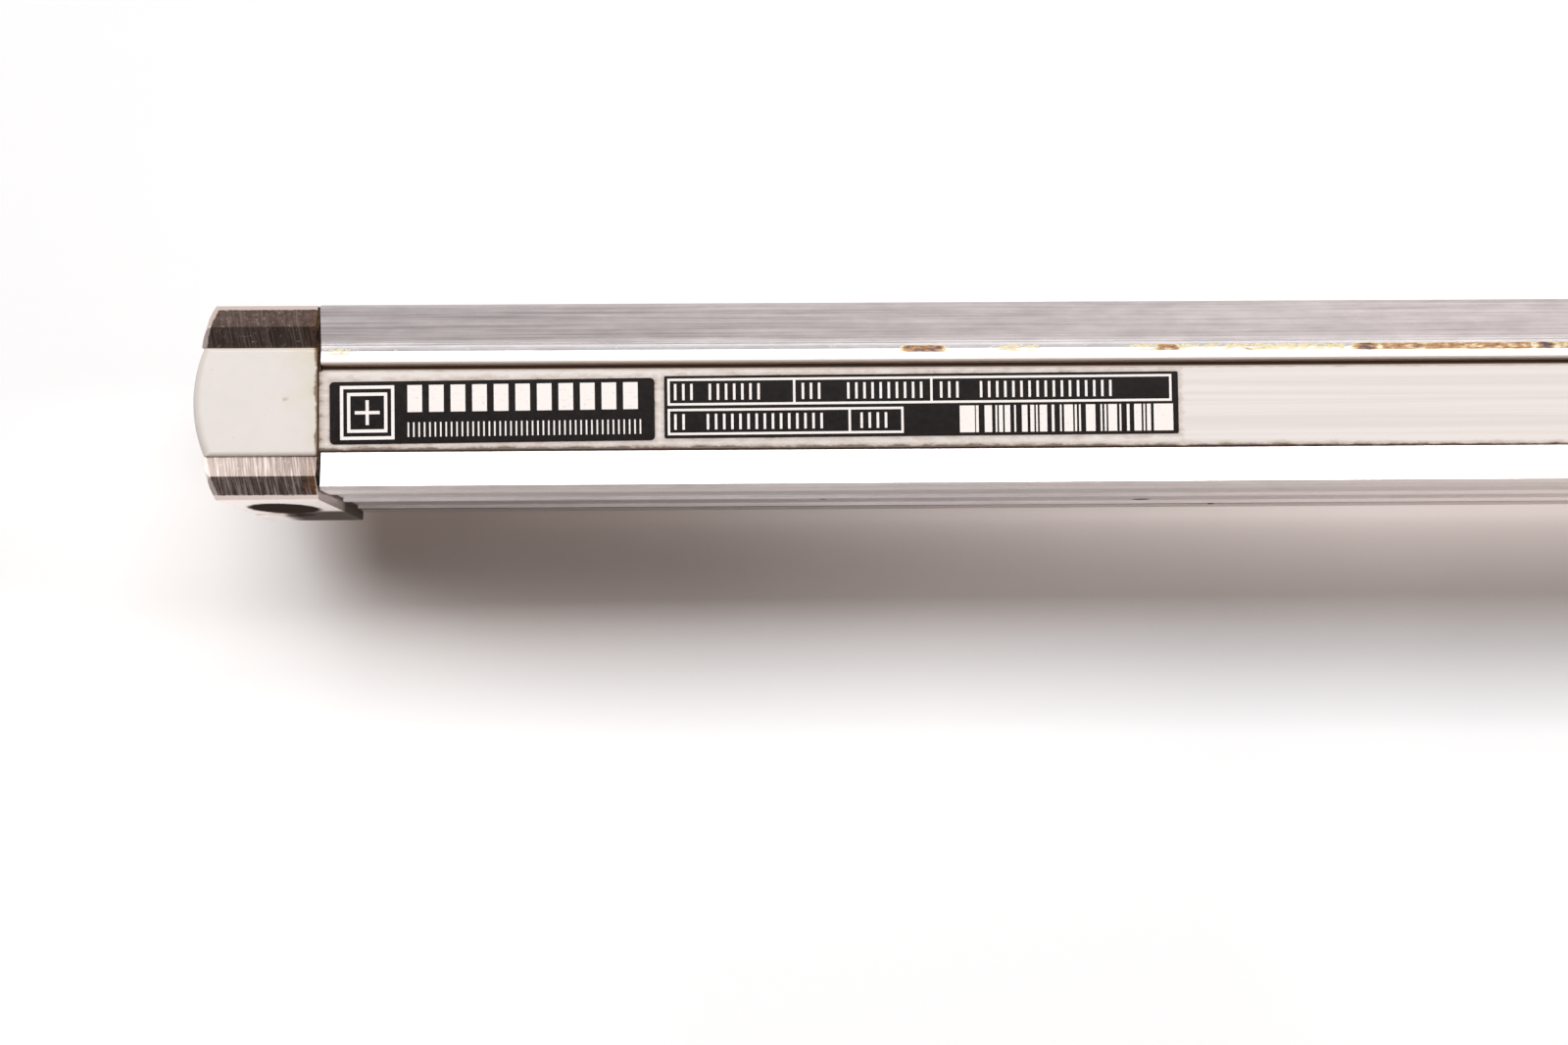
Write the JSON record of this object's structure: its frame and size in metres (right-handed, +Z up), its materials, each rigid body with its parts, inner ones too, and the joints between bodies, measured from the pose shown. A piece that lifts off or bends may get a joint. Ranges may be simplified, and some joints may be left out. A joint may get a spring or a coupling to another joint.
{
  "type": "sealed linear encoder",
  "caption": "Slimline sealed glass-scale linear encoder with extruded housing, curved end blocks, cover strip and a scanning unit that slides beneath it.",
  "frame": {"origin": "middle of the face that the mounting block stands on, with the scanning unit at mid travel", "axes": "+X along the measuring direction, +Y through the thickness away from the mounting side, +Z up towards the labelled face"},
  "size_m": [0.485, 0.018, 0.0462],
  "materials": {
    "extruded_aluminium": "anodised extrusion with lengthwise drawing lines",
    "strip_plastic": "cream extruded plastic",
    "cap_plastic": "cream moulded plastic",
    "plate_foil": "black printed foil",
    "cast_ends": "die-cast metal, ground on the ridges",
    "screw_steel": "zinc-plated steel",
    "scale_glass": "ground glass",
    "optic_glass": "polished glass",
    "grating_chrome": "chromium layer",
    "bond": "elastic adhesive",
    "lip_rubber": "polyurethane lip",
    "gasket_rubber": "oil-soaked rubber",
    "carriage_cast": "die-cast",
    "board": "circuit board",
    "ribbon": "polyimide film",
    "bearing_steel": "polished bearing steel",
    "spring_steel": "spring steel",
    "blade_steel": "ground stainless steel",
    "block_aluminium": "machined and anodised",
    "contact_plastic": "moulded contact insert",
    "wire_jacket": "wire jacket"
  },
  "bodies": {
    "housing": {"housing_extrusion": "extruded_aluminium", "cover_strip": "strip_plastic", "plate_short": "plate_foil", "plate_long": "plate_foil", "glass_scale": "scale_glass", "graduation": "grating_chrome", "reference_marks": "grating_chrome", "scale_bond": "bond", "lip_front": "lip_rubber", "lip_back": "lip_rubber", "end_block_left": "cast_ends", "end_block_right": "cast_ends", "end_cap_left": "cap_plastic", "end_cap_right": "cap_plastic", "end_gasket_left": "gasket_rubber", "end_gasket_right": "gasket_rubber", "end_screws_left": "screw_steel", "end_screws_right": "screw_steel", "air_plug_left": "screw_steel", "air_plug_right": "screw_steel"},
    "scanning_unit": {"carriage": "carriage_cast", "scanning_reticle": "optic_glass", "sensor_board": "board", "condenser_lens": "optic_glass", "lamp_board": "board", "lamp_ribbon": "ribbon", "signal_ribbon": "ribbon", "roller_pins": "bearing_steel", "coupling_spring": "spring_steel", "coupling_rivets": "screw_steel", "coupling_plate": "blade_steel", "blade": "blade_steel", "blade_screws": "screw_steel", "mounting_block": "block_aluminium", "interface_board": "board", "block_cover": "block_aluminium", "cover_screws": "screw_steel", "connector_insert": "contact_plastic", "connector_gasket": "gasket_rubber", "connector_wire": "wire_jacket"},
    "face_roller_left": {"face_roller_left": "bearing_steel"},
    "face_roller_right": {"face_roller_right": "bearing_steel"},
    "face_roller_top": {"face_roller_top": "bearing_steel"},
    "edge_roller_left": {"edge_roller_left": "bearing_steel"},
    "edge_roller_right": {"edge_roller_right": "bearing_steel"}
  },
  "joints": [
    {"name": "scan_travel", "type": "slide", "parent": "housing", "child": "scanning_unit", "axis": [1, 0, 0], "range_m": [-0.185, 0.185]},
    {"name": "face_roller_left_spin", "type": "hinge", "parent": "scanning_unit", "child": "face_roller_left", "pos_m": [-0.024, 0.00237, 0.02662], "axis": [0, 0, 1], "continuous": true},
    {"name": "face_roller_right_spin", "type": "hinge", "parent": "scanning_unit", "child": "face_roller_right", "pos_m": [0.024, 0.00237, 0.02662], "axis": [0, 0, 1], "continuous": true},
    {"name": "face_roller_top_spin", "type": "hinge", "parent": "scanning_unit", "child": "face_roller_top", "pos_m": [0, 0.00237, 0.0356], "axis": [0, 0, 1], "continuous": true},
    {"name": "edge_roller_left_spin", "type": "hinge", "parent": "scanning_unit", "child": "edge_roller_left", "pos_m": [-0.022, -0.00155, 0.0228], "axis": [0, 1, 0], "continuous": true},
    {"name": "edge_roller_right_spin", "type": "hinge", "parent": "scanning_unit", "child": "edge_roller_right", "pos_m": [0.022, -0.00155, 0.0228], "axis": [0, 1, 0], "continuous": true}
  ],
  "couplings": [
    {"joint": "face_roller_left_spin", "follows": "scan_travel", "rad_per_m": -400},
    {"joint": "face_roller_right_spin", "follows": "scan_travel", "rad_per_m": -400},
    {"joint": "face_roller_top_spin", "follows": "scan_travel", "rad_per_m": -400},
    {"joint": "edge_roller_left_spin", "follows": "scan_travel", "rad_per_m": -400},
    {"joint": "edge_roller_right_spin", "follows": "scan_travel", "rad_per_m": -400}
  ]
}
